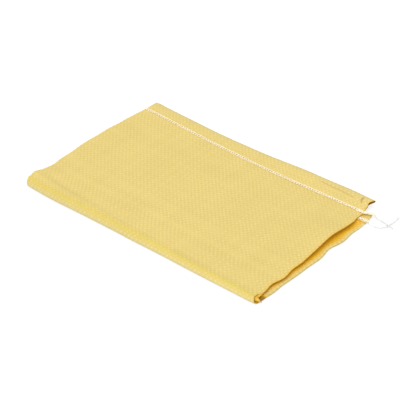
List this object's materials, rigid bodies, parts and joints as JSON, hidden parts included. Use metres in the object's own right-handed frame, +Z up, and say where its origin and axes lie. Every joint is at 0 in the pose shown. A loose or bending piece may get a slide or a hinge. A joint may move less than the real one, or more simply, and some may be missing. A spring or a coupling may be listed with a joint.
{
  "type": "rubble sack",
  "caption": "Woven plastic rubble sack with a sewn bottom and hemmed mouth, folded flat in half, with loose ends of white seam thread.",
  "frame": {"origin": "middle of the cloth's box, on the floor that the folded sack lies on", "axes": "+X along the sewn bottom end, +Y from the fold to the sewn end, +Z up"},
  "size_m": [0.6825, 0.4123, 0.0206],
  "materials": {
    "woven_cloth": "yellow woven plastic tape, slightly glossy",
    "thread": "white spun thread, matt"
  },
  "bodies": {
    "root": {"sack_cloth": "woven_cloth", "hem_seam_thread": "thread", "mouth_seam_thread": "thread", "hem_seam_tail": "thread", "mouth_seam_tail": "thread"}
  },
  "joints": []
}
